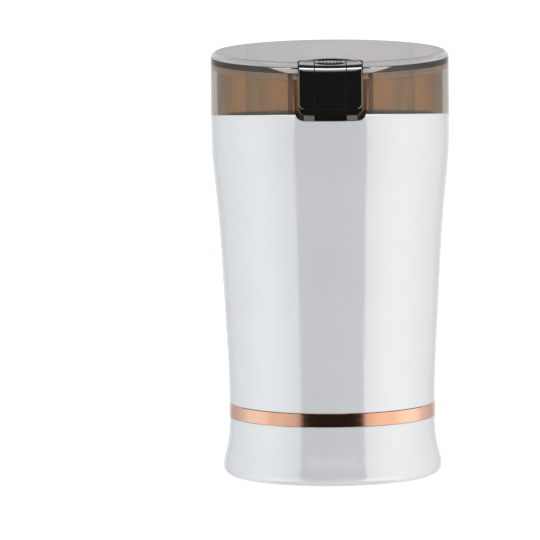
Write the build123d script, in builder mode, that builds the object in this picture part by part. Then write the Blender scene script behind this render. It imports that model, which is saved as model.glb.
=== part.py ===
from build123d import *

# Electric spice grinder: a smoked lid with a press button, a steel grinding bowl with a
# two-wing blade, and a tapered housing round a universal motor.
# Millimetres. +Z is up, the front (the button's side) is -Y, and the origin lies on the
# ground under the middle of the feet.
import os
from math import cos, pi, radians, sin, sqrt, tan

os.makedirs("parts", exist_ok=True)

# ---------------------------------------------------------------- driving dimensions
# Clearances
part_gap = 0.2  # between pieces that slide or drop together
end_gap = 0.3  # between an end and the floor it stops short of
thread_gap = 0.02
hole_gap = 0.2

# Housing
rim_r = 47.5  # outer radius where lid and housing meet
waist_draw = 6.4  # how much smaller the radius is at the trim ring than at the rim
flare_swell = 2.5  # how much larger the base's widest radius is than the waist
shell_wall = 2.4
foot_drop = 1.0  # how far the feet stand out below the base
flare_z = 4.8  # height of the base's widest point
skirt_z = 12.8  # height at which the base begins to flare
skirt_swell = 1.0
seam_z = 145.5  # height of the lid seam on the axis
seam_slant = 6.05  # degrees by which the seam rises to the front
straight_drop = 6.0  # length of cylindrical wall under the seam on the axis
shoulder_drop = 37.1  # seam to the shoulder
shoulder_draw = 2.3  # how much smaller the radius is at the shoulder than at the rim
hip_z = 65.0
hip_swell = 1.45  # how much larger the radius is at the hip than at the waist
lap_depth = 3.0  # how far the lid's lip goes down inside the rim
lap_wall = 1.1  # thickness of the rim outside the lip
shelf_drop = 3.6  # seam to the top of the sealing shelf
shelf_t = 2.0

# Trim ring
ring_z = 24.7
ring_h = 5.5
ring_proud = 0.1
ring_gap = 0.12  # shadow line above the ring
ring_edge = 0.2
spigot_step = 1.5  # how far the spigot lies inside the waist
spigot_wall = 1.8
spigot_drop = 5.2  # length of spigot below the ring

# Lid
lid_headroom = 6.9  # bowl rim to the lid's top
lid_wall = 2.3
lid_top_t = 2.0
lid_edge_r = 2.4
lid_corner_r = 2.4  # inside, under the top

# Press button and the pocket that guides it
button_w = 25.4
button_travel = 2.0
pocket_wall = 2.4
pocket_back_t = 1.0
tab_wall = 0.85  # side wall of the tab that dips into the housing
tab_drop = 2.6  # how far the tab dips below the front of the seam
tab_corner_r = 3.0
frame_h = 2.2  # height of the frame bar under the button
frame_t = 1.0
apron_t = 2.0  # thickness of the button's front plate
apron_proud = 0.1
apron_gap = 0.15  # left under the front plate at full travel
apron_corner_r = 2.4
tongue_t = 0.7
tongue_w = 12.6
skirt_gap = 0.1  # left under the skirt at full travel
pad_depth = 16.0
pad_curve = 9.3  # depth of the pad's rounded back
pad_t = 1.0  # thickness of the pad at its front edge
pad_gap = 0.05  # left under the pad at full travel
pad_rise = 2.25  # how much higher the pad's back is
pad_belly = 1.35  # how much higher the pad's middle is
pad_edge_r = 2.8  # bend from the pad into the front plate
button_edge_r = 0.5
recess_rim = 1.2  # rim of the pad round its fingertip recess
recess_depth = 0.85  # at the pad's back
score_w = 0.3
score_depth = 0.25
tongue_slot_w = 5.1
tongue_slot_depth = 0.3
well_floor_t = 1.0
spring_inset = 9.1  # button's front face to its spring
button_spring_r = 3.5
button_spring_turns = 2.25
spring_wire = 0.5
spring_recess = 0.65  # depth of the recess in the button over its spring

# Grinding bowl
bowl_room = 1.5  # radial room between the bowl's rim and the lid
bowl_rise = 18.6  # seam to the bowl's rim
bowl_depth = 50.1
bowl_taper = 6.3  # degrees
bowl_t = 0.8
bowl_corner_r = 10.0
bead_r = 0.7
boss_h = 5.0
boss_foot_r = 16.0
boss_top_r = 11.0
boss_foot_fillet = 4.0
boss_top_fillet = 3.0
gasket_t = 0.7
gasket_flange_w = 0.5
gasket_flange_t = 0.4
bowl_nut_w = 17.0  # across flats
bowl_nut_t = 2.8

# Carrier plate that holds the bowl and the motor
carrier_room = 1.8  # radial room between plate and shell
carrier_t = 3.0
carrier_edge = 2.8  # screw circle to the plate's edge
carrier_boss_r = 3.2
carrier_boss_h = 13.0
carrier_leg_h = 7.0
carrier_leg_r = 4.0
hub_step = 1.5  # how much narrower the hub is than the bowl's boss
spout_wall = 1.4
spout_proud = 0.4  # how far the spout stands out of its nut
seal_wall = 1.6
seal_t = 3.0
damper_x = 14.0
damper_y = 11.0
damper_r = 5.0
damper_t = 3.0
rib_t = 2.4

# Screws
screw_r = 1.4
screw_head_r = 2.5
screw_head_t = 1.5
carrier_screw_len = 12.0
damper_screw_len = 11.0
base_screw_bite = 4.7  # how far the base screws reach into the body's bosses

# Motor
shaft_r = 3.0
bush_gap = 0.03  # radial running clearance in the bushes and the seal
bush_wall = 3.0
bush_h = 8.0
bush_drop = 4.0  # lower bush below its bracket
bush_rise = 1.0  # upper bush above its bracket's underside
housing_wall = 2.0
bracket_t = 3.0
bracket_step = 2.0  # how far the brackets lie inside the laminations' outline
bracket_corner_r = 10.0
bracket_slot_w = 6.0
bracket_slot_r = 2.0
slot_margin = 2.5  # bracket slots to the legs
upper_leg_h = 12.0
lower_leg_h = 27.0
leg_r = 3.5
leg_edge = 6.0  # legs' centres to the laminations' edges
leg_gap = 1.5  # between legs and field windings
stator_room = 5.7  # laminations' side to the housing at the waist
stator_flat = 14.0  # how much narrower the laminations are from front to back
yoke_t = 6.0
window_corner_r = 9.0
air_gap = 0.6
pole_arc = 120.0  # degrees
shoe_t = 3.0
coil_side = 5.8  # width of the field winding beside its pole
coil_t = 5.0
coil_over = 7.0  # height of the field winding beyond the laminations
coil_gap = 0.2
coil_room = 1.3  # field winding to the yoke
coil_corner_r = 4.0
slot_count = 12
slot_inset = 3.6  # slots' centres to the armature's surface
slot_mouth = 1.4
tooth_w = 2.36
liner_t = 0.3
winding_h = 9.0
winding_inset = 2.2
winding_core = 3.3  # shaft to the winding's inside
winding_edge = 2.0
bar_height = 6.5
bar_gap = 0.6
bar_depth = 2.5
commutator_h = 12.0
commutator_drop = 0.5  # under the winding
brush_side = 5.0
brush_gap = 0.05
brush_reach = 2.5  # how far the brushes stand out of their holders
brush_spring_len = 4.9
brush_spring_turns = 3
holder_wall = 0.6
holder_over = 1.05  # how far the holders stand out past the bracket's plate
pedestal_w = 7.0
fan_room = 2.9  # fan's rim to the bosses of the base
fan_rise = 8.6  # bottom cover to the fan
fan_h = 9.0
fan_disc_t = 1.2
fan_hub_wall = 3.0
fan_blades = 9
fan_pitch = 12.0  # degrees
fan_drop = 5.0  # lower bush to the fan
shaft_end = 1.5  # length of shaft below the fan
shaft_edge = 0.4
capacitor_w = 18.0
capacitor_d = 8.0
capacitor_round = 1.5

# Blade
tip_gap = 6.64  # blade's tip to the bowl's wall
washer_r = 6.5
washer_t = 1.9
washer_edge = 0.8
washer_gap = 0.6  # between the spout's end and the washer
stud_step = 0.5
blade_t = 1.2
blade_w = 11.0
blade_flat = 13.0  # half length of the blade's level middle
blade_up = 25.0  # degrees
blade_down = 12.0
blade_bevel = 2.4
blade_nut_w = 8.0
blade_nut_t = 4.0
blade_nut_edge = 0.6
nut_cap_t = 0.7

# Safety switch
rod_w = 7.0
rod_lift = 0.1  # how far the rod's head stands up in the notch
rod_t = 1.2
rod_lean = 0.9  # how much nearer the axis the rod's foot is
rod_step = 0.3  # how far the stem lies outside the rod's neck
neck_t = 1.3
neck_h = 2.4
neck_drop = 2.6  # below the shelf at full travel
groove_depth = 6.0
head_t = 2.0
head_depth = 2.7
foot_t = 1.5
foot_reach = 1.5  # how far the foot passes the pin's middle
switch_room = 6.8  # switch's middle to the housing at the shoulder
switch_w = 14.0
switch_d = 8.0
switch_h = 14.0
switch_corner_r = 0.8
switch_drop = 13.0  # from the carrier plate to the switch's top
arm_t = 2.0
arm_d = 5.0
pin_r = 1.5
pin_gap = 0.1
pin_rise = 6.0
pin_depth = 3.0
pin_flange_r = 3.4
pin_flange_t = 1.0
pin_flange_drop = 0.6  # flange below the rod's foot
switch_spring_r = 2.4
switch_spring_turns = 2.5
terminal_w = 4.8
terminal_t = 0.8
terminal_h = 6.0

# Bottom cover and feet
foot_rim_w = 2.8  # flat ring of the base round the cover
cover_t = 2.2
cover_gap = 0.3
ledge_t = 2.0
ledge_w = 2.0
post_r = 3.6
post_inset = 1.7  # posts to the spigot's inside
post_step = 0.5  # how far the base's posts reach into the spigot
post_boss_h = 7.0
post_cap_t = 1.0
head_sink = 0.7  # how deep the screw heads sit in the cover
rubber_foot_r = 4.0
foot_edge = 0.4
foot_sink = 1.0
foot_inset = 9.5  # feet's circle to the rebate
vent_count = 12
vent_w = 2.0
vent_inner_r = 10.0
vent_margin = 3.5  # vents to the feet

# Cord entry
cord_r = 3.2
gland_wall = 1.6
gland_gap = 0.02
gland_drop = 0.7  # gland below the spigot
gland_flange_w = 1.1
gland_flange_t = 1.3
gland_flange_edge = 0.5
gland_len = 5.5
gland_step = 0.3  # how far the gland's seat lies outside the waist

# ---------------------------------------------------------------- worked-out values
over_seam = 12.0  # margin that reaches above every point of the seam

# Plan radii, from the rim inwards and down
waist_r = rim_r - waist_draw
flare_r = waist_r + flare_swell
shoulder_r = rim_r - shoulder_draw
shoulder_in_r = shoulder_r - shell_wall
lid_in_r = rim_r - lid_wall
lip_r = rim_r - lap_wall - part_gap
spigot_r = waist_r - spigot_step
spigot_in_r = spigot_r - spigot_wall
bowl_rim_r = lid_in_r - bowl_room
hub_r = boss_top_r - hub_step
carrier_r = shoulder_in_r - carrier_room
carrier_circle_r = carrier_r - carrier_edge
edge_r = flare_z - foot_drop  # rounding between the base's flank and its underside
rebate_r = flare_r - edge_r - foot_rim_w
cover_r = rebate_r - cover_gap
post_circle_r = spigot_in_r - post_inset - post_r
foot_circle_r = rebate_r - foot_inset
vent_outer_r = foot_circle_r - rubber_foot_r - vent_margin

# Heights, from the seam up and down
front_seam_z = seam_z + rim_r * tan(radians(seam_slant))
shoulder_z = seam_z - shoulder_drop
bowl_rim_z = seam_z + bowl_rise
bowl_floor_z = bowl_rim_z - bowl_depth
lid_top_z = bowl_rim_z + lid_headroom
ceiling_z = lid_top_z - lid_top_t
carrier_z = bowl_floor_z - carrier_t
seam = Plane(
    origin=(0, 0, seam_z),
    x_dir=(1, 0, 0),
    z_dir=(0, sin(radians(seam_slant)), cos(radians(seam_slant))),
)

# Heights, from the ground up
cover_z = foot_drop + part_gap
ledge_z = cover_z + cover_t
ledge_top_z = ledge_z + ledge_t
ring_top_z = ring_z + ring_h
wall_low_z = ring_top_z + ring_gap
spigot_low_z = ring_z - spigot_drop
socket_z = spigot_low_z - part_gap
post_top_z = spigot_low_z + post_step
head_seat_z = ledge_z - head_sink

# Button and its pocket
notch_low_z = front_seam_z - tab_drop - part_gap
tab_low_z = notch_low_z + part_gap
frame_top_z = tab_low_z + frame_h
pocket_half_w = button_w / 2 + part_gap
block_half_w = pocket_half_w + pocket_wall
tab_half_w = pocket_half_w + tab_wall
apron_r = rim_r + apron_proud
apron_in_r = apron_r - apron_t
pocket_in_r = apron_in_r - end_gap
pocket_back_r = pocket_in_r - pocket_back_t
frame_in_r = rim_r - frame_t
tongue_r = apron_in_r + tongue_t
skirt_low_z = tab_low_z + button_travel + skirt_gap
apron_low_z = frame_top_z + button_travel + apron_gap
well_floor_z = bowl_rim_z + bead_r + end_gap + well_floor_t
pad_low_z = well_floor_z + button_travel + pad_gap
pad_front_z = pad_low_z + pad_t
pad_turn_y = pad_depth - apron_r - pad_curve
recess_z = pad_front_z + pad_rise - recess_depth
spring_top_z = pad_front_z + spring_recess
button_spring_y = spring_inset - apron_r

# Switch rod and its shaft in the wall
rod_top_z = notch_low_z + rod_lift
head_low_z = rod_top_z - head_t
rod_neck_r = tongue_r - head_depth
shaft_floor_z = head_low_z - button_travel - end_gap
shelf_low_z = front_seam_z - shelf_drop - shelf_t - 2 * end_gap
neck_low_z = shelf_low_z - button_travel - neck_drop
stem_y = -(rod_neck_r + rod_step)  # outer face of the rod's stem at its top

# Carrier, spout and blade
boss_top_z = bowl_floor_z + boss_h
nut_z = boss_top_z + bowl_t
spout_top_z = nut_z + bowl_nut_t + spout_proud
spout_bore_r = shaft_r + seal_wall
spout_r = spout_bore_r + spout_wall
washer_z = spout_top_z + washer_gap
blade_z = washer_z + washer_t
blade_nut_z = blade_z + blade_t
stud_r = shaft_r - stud_step

# Motor, from the carrier down and from the cover up
damper_z = carrier_z - carrier_leg_h - damper_t
upper_bracket_z = damper_z - bracket_t
stack_top_z = upper_bracket_z - upper_leg_h
upper_bush_z = upper_bracket_z + bush_rise
fan_z = ledge_z + fan_rise
lower_bush_z = fan_z + fan_h + fan_drop
lower_bracket_z = lower_bush_z + bush_drop
lower_bracket_top_z = lower_bracket_z + bracket_t
stack_z = lower_bracket_top_z + lower_leg_h
stack_h = stack_top_z - stack_z
stator_x = 2 * (waist_r - shell_wall - stator_room)
stator_y = stator_x - stator_flat
window_x = stator_x - 2 * yoke_t
window_y = stator_y - 2 * yoke_t
bracket_x = stator_x - 2 * bracket_step
bracket_y = stator_y - 2 * bracket_step
leg_x = stator_x / 2 - leg_edge
leg_y = stator_y / 2 - leg_edge
bracket_slot_y = 2 * (leg_y - leg_r - slot_margin)
coil_in_x = window_x / 2 - coil_room - coil_t
coil_w = 2 * (leg_y - leg_r - leg_gap)
pole_w = coil_w - 2 * coil_side - 2 * coil_gap
bore_r = coil_in_x - coil_gap - shoe_t
armature_r = bore_r - air_gap
slot_circle_r = armature_r - slot_inset
slot_r = pi * slot_circle_r / slot_count - tooth_w / 2
winding_w = armature_r - winding_inset - winding_core - shaft_r
bush_r = shaft_r + bush_wall
housing_r = bush_r + housing_wall
commutator_r = shaft_r + bar_height
commutator_z = stack_z - winding_h - commutator_h - commutator_drop
brush_z = commutator_z + commutator_h / 2
brush_bore = brush_side + 2 * brush_gap
holder_side = brush_bore + 2 * holder_wall
brush_y = commutator_r + brush_gap
holder_y = brush_y + brush_reach
holder_len = bracket_y / 2 + holder_over - holder_y
holder_end_y = holder_y + holder_len - holder_wall
brush_len = holder_end_y - brush_spring_len - brush_y
fan_r = post_circle_r - post_r - fan_room
fan_hub_r = shaft_r + fan_hub_wall

# Safety switch
switch_y = switch_room - shoulder_in_r
switch_top_z = carrier_z - switch_drop
rod_foot_z = switch_top_z + pin_rise
rod_room_z = rod_foot_z - button_travel - end_gap
flange_z = rod_foot_z - pin_flange_t - pin_flange_drop

# Cord entry
gland_r = cord_r + gland_wall
gland_flange_r = gland_r + gland_flange_w
gland_z = spigot_low_z - gland_drop - gland_r
gland_seat_y = waist_r + gland_step


def bowl_r(z):
    """Outer radius of the bowl's tapered wall at height z."""
    return bowl_rim_r - (bowl_rim_z - z) * tan(radians(bowl_taper))


blade_r = bowl_r(blade_z) - bowl_t - tip_gap


def front_arc(outer_r, inner_r, half_w):
    """Plan of a curved front piece: a ring's front part, cut to a half width."""
    with BuildSketch(mode=Mode.PRIVATE) as plan:
        Circle(outer_r)
        Circle(inner_r, mode=Mode.SUBTRACT)
        with Locations((0, -outer_r)):
            Rectangle(2 * half_w, outer_r, mode=Mode.INTERSECT)
    return plan.sketch


def pad_plan(outer_r, half_w, curve):
    """Plan of the button's top: the lid's curve in front and half an ellipse behind."""
    front_y = -sqrt(outer_r**2 - half_w**2)
    with BuildSketch(mode=Mode.PRIVATE) as plan:
        with BuildLine():
            ThreePointArc((-half_w, front_y), (0, -outer_r), (half_w, front_y))
            Line((half_w, front_y), (half_w, pad_turn_y))
            EllipticalCenterArc((0, pad_turn_y), half_w, curve, start_angle=0, arc_size=180)
            Line((-half_w, pad_turn_y), (-half_w, front_y))
        make_face()
    return plan.sketch


def front_block(half_w, low_z, high_z, corner_r, outer_r, inner_r):
    """Solid with a round-cornered front outline, curved to lie between two radii."""
    with BuildPart(mode=Mode.PRIVATE) as block:
        with BuildSketch(Plane.XZ):
            with Locations((0, (low_z + high_z) / 2)):
                RectangleRounded(2 * half_w, high_z - low_z, corner_r)
        extrude(amount=outer_r + 1)
        with BuildSketch(Plane.XY.offset(low_z)):
            Circle(outer_r)
            Circle(inner_r, mode=Mode.SUBTRACT)
        extrude(amount=high_z - low_z, mode=Mode.INTERSECT)
    return block.part


def seam_ring(outer_r, inner_r, low, high):
    """Ring between two planes parallel to the seam, low and high measured from it."""
    with BuildPart(mode=Mode.PRIVATE) as ring:
        with BuildSketch(Plane.XY.offset(seam_z - 2 * over_seam)):
            Circle(outer_r)
            Circle(inner_r, mode=Mode.SUBTRACT)
        extrude(amount=4 * over_seam)
        split(bisect_by=seam.offset(high), keep=Keep.BOTTOM)
        split(bisect_by=seam.offset(low), keep=Keep.TOP)
    return ring.part


def bowl_cone(gap):
    """Solid cone that follows the bowl's wall near the seam, grown by a gap."""
    low_z = seam_z - 2 * over_seam
    high_z = seam_z + over_seam
    with BuildPart(mode=Mode.PRIVATE) as cone:
        with BuildSketch(Plane.XZ):
            with BuildLine():
                Polyline(
                    (0, low_z),
                    (bowl_r(low_z) + gap, low_z),
                    (bowl_r(high_z) + gap, high_z),
                    (0, high_z),
                    close=True,
                )
            make_face()
        revolve(axis=Axis.Z)
    return cone.part


def coil(radius, low_z, high_z, turns, place):
    """Compression spring of square wire between two heights, round a place (x, y)."""
    height = high_z - low_z - spring_wire
    start_z = low_z + spring_wire / 2
    with BuildPart(mode=Mode.PRIVATE) as spring:
        with BuildLine():
            Helix(pitch=height / turns, height=height, radius=radius, center=(*place, start_z))
        with BuildSketch(Plane(origin=(place[0] + radius, place[1], start_z), z_dir=(0, 1, 0))):
            Rectangle(spring_wire, spring_wire)
        sweep(is_frenet=True)
    return spring.part


def save(piece, label):
    """Labels a finished piece and writes its STEP file."""
    piece.part.label = label
    export_step(piece.part, f"parts/{label}.step")


# ---------------------------------------------------------------- body shell
wall_points = (
    (rim_r, seam_z - straight_drop),
    (shoulder_r, shoulder_z),
    (waist_r + hip_swell, hip_z),
    (waist_r, wall_low_z),
)
inner_points = [(r - shell_wall, z) for r, z in wall_points]

with BuildPart() as body_shell:
    with BuildSketch(Plane.XZ):
        with BuildLine():
            Line((rim_r, seam_z + over_seam), wall_points[0])
            Spline(*wall_points, tangents=[(0, -1), (0, -1)])
            Polyline(
                wall_points[-1],
                (spigot_r, wall_low_z),
                (spigot_r, spigot_low_z),
                (spigot_in_r, spigot_low_z),
                (spigot_in_r, wall_low_z),
                inner_points[-1],
            )
            Spline(*reversed(inner_points), tangents=[(0, 1), (0, 1)])
            Polyline(
                inner_points[0],
                (rim_r - shell_wall, seam_z + over_seam),
                (rim_r, seam_z + over_seam),
            )
        make_face()
    revolve(axis=Axis.Z)
    split(bisect_by=seam, keep=Keep.BOTTOM)
    # sealing shelf round the bowl, and the rebate that takes the lid's lip
    wall_mid_r = rim_r - shell_wall / 2
    shelf = seam_ring(wall_mid_r, bowl_r(seam_z) / 2, -shelf_drop - shelf_t, -shelf_drop)
    add(shelf - bowl_cone(gasket_t))
    rebate = seam_ring(rim_r - lap_wall, bowl_r(seam_z) / 2, -lap_depth - end_gap, over_seam)
    add(rebate, mode=Mode.SUBTRACT)
    # notch for the lid's tab, and the shaft in which the switch rod's head slides
    add(
        front_block(
            tab_half_w + part_gap,
            notch_low_z,
            lid_top_z,
            tab_corner_r + part_gap,
            rim_r + 1,
            rod_neck_r,
        ),
        mode=Mode.SUBTRACT,
    )
    with BuildSketch(Plane.XY.offset(shaft_floor_z)):
        add(front_arc(tongue_r + part_gap, rod_neck_r - part_gap, tongue_w / 2 + part_gap))
    extrude(amount=notch_low_z + 1 - shaft_floor_z, mode=Mode.SUBTRACT)
    # groove for the rod's stem on the inside of the wall
    with BuildSketch(Plane.YZ.offset(-rod_w / 2 - part_gap)):
        with BuildLine():
            Polyline(
                (stem_y - part_gap, shelf_low_z),
                (stem_y + rod_lean - part_gap, rod_room_z),
                (stem_y + groove_depth, rod_room_z),
                (stem_y + groove_depth, shelf_low_z),
                close=True,
            )
        make_face()
    extrude(amount=rod_w + 2 * part_gap, mode=Mode.SUBTRACT)
    # bosses for the carrier plate
    with BuildSketch(Plane.XY.offset(carrier_z - carrier_boss_h)):
        with PolarLocations(carrier_circle_r, 4, start_angle=45):
            Circle(carrier_boss_r)
            rib_len = shoulder_r - shell_wall / 2 - carrier_circle_r
            Rectangle(rib_len, rib_t, align=(Align.MIN, Align.CENTER))
    extrude(amount=carrier_boss_h)
    with BuildSketch(Plane.XY.offset(carrier_z - carrier_boss_h)):
        with PolarLocations(carrier_circle_r, 4, start_angle=45):
            Circle(screw_r + thread_gap)
    extrude(amount=carrier_boss_h, mode=Mode.SUBTRACT)
    # bosses for the screws that come up through the base
    with BuildSketch(Plane.XY.offset(post_top_z)):
        with PolarLocations(post_circle_r, 4, start_angle=45):
            Circle(post_r)
            rib_len = spigot_r - spigot_wall / 2 - post_circle_r
            Rectangle(rib_len, rib_t, align=(Align.MIN, Align.CENTER))
    extrude(amount=post_boss_h)
    with BuildSketch(Plane.XY.offset(post_top_z)):
        with PolarLocations(post_circle_r, 4, start_angle=45):
            Circle(screw_r + thread_gap)
    extrude(amount=post_boss_h - post_cap_t, mode=Mode.SUBTRACT)

save(body_shell, "body_shell")

# ---------------------------------------------------------------- trim ring
with BuildPart() as trim_ring:
    with BuildSketch(Plane.XY.offset(ring_z)):
        Circle(waist_r + ring_proud)
        Circle(spigot_r + part_gap, mode=Mode.SUBTRACT)
    extrude(amount=ring_h)
    chamfer(trim_ring.edges().group_by(SortBy.LENGTH)[-1], ring_edge)

save(trim_ring, "trim_ring")

# ---------------------------------------------------------------- base shell
corner = (flare_r - edge_r * (1 - cos(radians(45))), flare_z - edge_r * sin(radians(45)))
base_in_r = flare_r - shell_wall - part_gap

with BuildPart() as base_shell:
    with BuildSketch(Plane.XZ):
        with BuildLine():
            Polyline((spigot_r + part_gap, ring_z), (waist_r, ring_z))
            Spline(
                (waist_r, ring_z),
                (waist_r + skirt_swell, skirt_z),
                (flare_r, flare_z),
                tangents=[(0, -1), (0, -1)],
            )
            ThreePointArc((flare_r, flare_z), corner, (flare_r - edge_r, foot_drop))
            Polyline(
                (flare_r - edge_r, foot_drop),
                (rebate_r, foot_drop),
                (rebate_r, ledge_z),
                (rebate_r - ledge_w, ledge_z),
                (rebate_r - ledge_w, ledge_top_z),
                (base_in_r, ledge_top_z),
                (waist_r + skirt_swell - shell_wall, skirt_z),
                (spigot_r - ledge_w / 2, socket_z),
                (spigot_r + part_gap, socket_z),
                (spigot_r + part_gap, ring_z),
            )
        make_face()
    revolve(axis=Axis.Z)
    with BuildSketch(Plane.XY.offset(ledge_z)):
        with PolarLocations(post_circle_r, 4, start_angle=45):
            Circle(post_r)
            Rectangle(spigot_r - post_circle_r, rib_t, align=(Align.MIN, Align.CENTER))
    extrude(amount=socket_z - ledge_z)
    with BuildSketch(Plane.XY.offset(socket_z)):
        with PolarLocations(post_circle_r, 4, start_angle=45):
            Circle(post_r)
    extrude(amount=post_top_z - socket_z)
    with BuildSketch(Plane.XY.offset(ledge_z)):
        with PolarLocations(post_circle_r, 4, start_angle=45):
            Circle(screw_r + hole_gap)
    extrude(amount=post_top_z - ledge_z, mode=Mode.SUBTRACT)
    # flat seat and hole for the cord gland at the back
    with BuildSketch(Plane.XZ.offset(-gland_seat_y)):
        with Locations((0, gland_z)):
            Circle(gland_flange_r + part_gap)
    extrude(amount=-(flare_r - gland_seat_y + 1), mode=Mode.SUBTRACT)
    with BuildSketch(Plane.XZ.offset(-flare_r)):
        with Locations((0, gland_z)):
            Circle(gland_r + gland_gap)
    extrude(amount=flare_r - post_circle_r, mode=Mode.SUBTRACT)

save(base_shell, "base_shell")

# ---------------------------------------------------------------- bottom cover
with BuildPart() as bottom_cover:
    with BuildSketch(Plane.XY.offset(cover_z)):
        Circle(cover_r)
        with PolarLocations(post_circle_r, 4, start_angle=45):
            Circle(screw_r + hole_gap, mode=Mode.SUBTRACT)
        with PolarLocations((vent_inner_r + vent_outer_r) / 2, vent_count):
            SlotOverall(vent_outer_r - vent_inner_r, vent_w, mode=Mode.SUBTRACT)
    extrude(amount=cover_t)
    with BuildSketch(Plane.XY.offset(cover_z)):
        with PolarLocations(post_circle_r, 4, start_angle=45):
            Circle(screw_head_r + hole_gap)
    extrude(amount=head_seat_z - cover_z, mode=Mode.SUBTRACT)
    with BuildSketch(Plane.XY.offset(cover_z)):
        with PolarLocations(foot_circle_r, 4):
            Circle(rubber_foot_r)
    extrude(amount=foot_sink, mode=Mode.SUBTRACT)

save(bottom_cover, "bottom_cover")

# ---------------------------------------------------------------- rubber feet
with BuildPart() as rubber_feet:
    with BuildSketch():
        with PolarLocations(foot_circle_r, 4):
            Circle(rubber_foot_r)
    extrude(amount=cover_z + foot_sink)
    chamfer(rubber_feet.edges().group_by(Axis.Z)[0], foot_edge)

save(rubber_feet, "rubber_feet")


def screws(low_z, head_z, circle_r, up):
    """Four pan-head screws on a circle; the heads lie above their seat if up is true."""
    length = head_z - low_z
    with BuildPart(mode=Mode.PRIVATE) as group:
        with BuildSketch(Plane.XY.offset(low_z)):
            with PolarLocations(circle_r, 4, start_angle=45):
                Circle(screw_r)
        extrude(amount=length)
        with BuildSketch(Plane.XY.offset(head_z if up else low_z)):
            with PolarLocations(circle_r, 4, start_angle=45):
                Circle(screw_head_r)
        extrude(amount=screw_head_t if up else -min(screw_head_t, low_z - cover_z))
    return group.part


with BuildPart() as base_screws:
    add(screws(head_seat_z, post_top_z + base_screw_bite, post_circle_r, False))

save(base_screws, "base_screws")

# ---------------------------------------------------------------- cord gland
with BuildPart() as cord_gland:
    with BuildSketch(Plane.XZ.offset(-gland_seat_y)):
        with Locations((0, gland_z)):
            Circle(gland_flange_r)
    extrude(amount=-gland_flange_t)
    fillet(cord_gland.edges().sort_by(Axis.Y)[-1], gland_flange_edge)
    with BuildSketch(Plane.XZ.offset(-gland_seat_y)):
        with Locations((0, gland_z)):
            Circle(gland_r)
    extrude(amount=gland_len)
    with BuildSketch(Plane.XZ.offset(-gland_seat_y - gland_flange_t)):
        with Locations((0, gland_z)):
            Circle(cord_r)
    extrude(amount=gland_len + gland_flange_t, mode=Mode.SUBTRACT)

save(cord_gland, "cord_gland")

# ---------------------------------------------------------------- lid
tab = front_block(tab_half_w, tab_low_z, ceiling_z, tab_corner_r, rim_r, pocket_back_r)
window = front_block(
    pocket_half_w, frame_top_z, lid_top_z + 2 * over_seam, apron_corner_r, rim_r + 1, pocket_in_r
)

with BuildPart() as lid_cover:
    with BuildSketch(Plane.XZ):
        with BuildLine():
            Polyline(
                (0, lid_top_z),
                (rim_r, lid_top_z),
                (rim_r, seam_z - over_seam),
                (lid_in_r, seam_z - over_seam),
                (lid_in_r, ceiling_z),
                (0, ceiling_z),
                close=True,
            )
        make_face()
    revolve(axis=Axis.Z)
    fillet(lid_cover.edges().group_by(Axis.Z)[-1], lid_edge_r)
    split(bisect_by=seam, keep=Keep.TOP)
    round_edges = lid_cover.edges().filter_by(GeomType.CIRCLE)
    fillet(round_edges.filter_by_position(Axis.Z, ceiling_z, ceiling_z), lid_corner_r)
    add(seam_ring(lip_r, lid_in_r, -lap_depth, 0.5))
    # pocket of the button: side and back walls, the dipping tab and the D-shaped well
    with BuildSketch(Plane.XY.offset(front_seam_z)):
        add(front_arc(frame_in_r, pocket_back_r, block_half_w))
    extrude(amount=ceiling_z - front_seam_z)
    add(tab)
    with BuildSketch(Plane.XY.offset(well_floor_z - well_floor_t)):
        add(pad_plan(frame_in_r, block_half_w, pad_curve + part_gap + pocket_wall))
    extrude(amount=lid_top_z - lid_top_t / 2 - well_floor_z + well_floor_t)
    with BuildSketch(Plane.XY.offset(well_floor_z)):
        add(pad_plan(rim_r + 1, pocket_half_w, pad_curve + part_gap))
    extrude(amount=over_seam, mode=Mode.SUBTRACT)
    add(window, mode=Mode.SUBTRACT)
    with BuildSketch(Plane.XY.offset(tab_low_z - lap_depth)):
        add(front_arc(rim_r, pocket_back_r - end_gap, tab_half_w))
    extrude(amount=lap_depth, mode=Mode.SUBTRACT)
    with BuildSketch(Plane.XY.offset(tab_low_z - 1)):
        add(front_arc(frame_in_r, pocket_in_r, pocket_half_w))
        add(front_arc(rim_r + 1, pocket_in_r, tongue_w / 2 + part_gap))
    extrude(amount=apron_low_z - tab_low_z + 1, mode=Mode.SUBTRACT)
    # spigot that centres the button's spring
    with BuildSketch(Plane.XY.offset(well_floor_z)):
        with Locations((0, button_spring_y)):
            Circle(button_spring_r - spring_wire - end_gap)
    extrude(amount=spring_top_z - well_floor_z - button_travel - end_gap)

save(lid_cover, "lid_cover")

# ---------------------------------------------------------------- press button
dome_front_y = -apron_r - 1
dome_back_y = dome_front_y + pad_depth + 1
dome_mid_y = (dome_front_y + dome_back_y) / 2
apron_cap_z = lid_top_z + over_seam

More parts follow.
